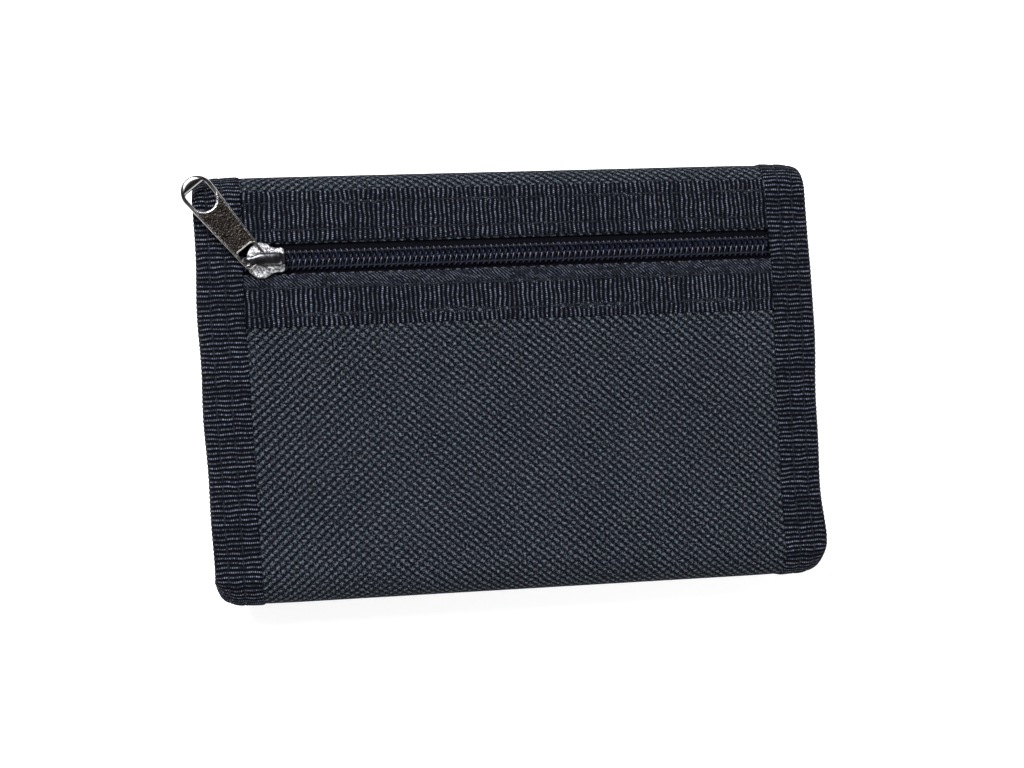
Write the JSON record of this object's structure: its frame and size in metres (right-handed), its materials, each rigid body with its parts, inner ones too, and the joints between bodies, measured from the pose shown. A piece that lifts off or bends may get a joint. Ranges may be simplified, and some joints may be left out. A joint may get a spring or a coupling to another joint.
{
  "type": "trifold wallet",
  "caption": "Tape-bound fabric wallet, folded in three and shown closed, with a zipped coin pocket on its back and a touch-fastener flap.",
  "frame": {"origin": "centre of the closing flap's outer face, which the closed wallet rests on", "axes": "+X along the zip, +Y towards the top fold, +Z from the closing flap towards the zip face"},
  "size_m": [0.1269, 0.0844, 0.0231],
  "materials": {
    "oxford_cloth": "coarse charcoal oxford weave, blue-grey filament sheen",
    "grosgrain_tape": "black ribbed grosgrain tape, stitched with black thread",
    "lining_cloth": "fine black plain-weave nylon",
    "zip_tape": "black woven zip tape",
    "zip_coil": "black nylon monofilament coil, semi-gloss",
    "touch_fastener": "black hook and loop tape",
    "window_film": "clear flexible film",
    "slider_metal": "bright plated casting with an uneven cast skin",
    "bridge_metal": "dark nickel wire",
    "pull_metal": "gunmetal casting, pebbled dark field and polished rims"
  },
  "bodies": {
    "back_panel": {"shell_upper_strip": "oxford_cloth", "shell_lower_panel": "oxford_cloth", "zip_tape_upper": "zip_tape", "zip_tape_lower": "zip_tape", "zip_coil_upper": "zip_coil", "zip_coil_lower": "zip_coil", "ribbon_upper": "grosgrain_tape", "ribbon_lower": "grosgrain_tape", "coin_pocket_lining": "lining_cloth", "bill_pocket_lining": "lining_cloth", "card_pocket_rear": "lining_cloth", "card_pocket_front": "lining_cloth", "back_tape_left": "grosgrain_tape", "back_tape_right": "grosgrain_tape"},
    "top_spine": {"top_spine_shell": "oxford_cloth", "top_spine_lining": "lining_cloth", "top_spine_tape_left": "grosgrain_tape", "top_spine_tape_right": "grosgrain_tape"},
    "flap": {"flap_shell": "oxford_cloth", "flap_lining": "lining_cloth", "flap_tape_left": "grosgrain_tape", "flap_tape_right": "grosgrain_tape", "flap_edge_tape": "grosgrain_tape", "hook_strip": "touch_fastener"},
    "bottom_spine": {"bottom_spine_shell": "oxford_cloth", "bottom_spine_lining": "lining_cloth", "bottom_spine_tape_left": "grosgrain_tape", "bottom_spine_tape_right": "grosgrain_tape"},
    "inner_panel": {"inner_shell": "oxford_cloth", "inner_lining": "lining_cloth", "inner_tape_left": "grosgrain_tape", "inner_tape_right": "grosgrain_tape", "inner_edge_tape": "grosgrain_tape", "loop_strip": "touch_fastener", "id_window_film": "window_film", "id_window_frame": "lining_cloth"},
    "zip_slider": {"slider_body": "slider_metal", "slider_bridge": "bridge_metal"},
    "zip_pull": {"pull_tab": "pull_metal"}
  },
  "joints": [
    {"name": "flap_fold", "type": "hinge", "parent": "back_panel", "child": "top_spine", "pos_m": [0, 0.04049, 0.01824], "axis": [1, 0, 0], "range_deg": [0, 90]},
    {"name": "flap_turn", "type": "hinge", "parent": "top_spine", "child": "flap", "pos_m": [0, 0.04049, 0.00176], "axis": [1, 0, 0], "range_deg": [0, 90]},
    {"name": "inner_fold", "type": "hinge", "parent": "back_panel", "child": "bottom_spine", "pos_m": [0, -0.04049, 0.01824], "axis": [-1, 0, 0], "range_deg": [0, 90]},
    {"name": "inner_turn", "type": "hinge", "parent": "bottom_spine", "child": "inner_panel", "pos_m": [0, -0.04049, 0.00596], "axis": [-1, 0, 0], "range_deg": [0, 95]},
    {"name": "zip_slide", "type": "slide", "parent": "back_panel", "child": "zip_slider", "axis": [1, 0, 0], "range_m": [0, 0.094]},
    {"name": "pull_swing", "type": "hinge", "parent": "zip_slider", "child": "zip_pull", "pos_m": [-0.0509, 0.02475, 0.02155], "axis": [0.7912, 0.6115, 0], "range_deg": [0, 90]}
  ],
  "couplings": [
    {"joint": "flap_turn", "follows": "flap_fold", "ratio": 1},
    {"joint": "inner_fold", "follows": "flap_fold", "ratio": 1},
    {"joint": "inner_turn", "follows": "flap_fold", "ratio": 1.0556}
  ]
}
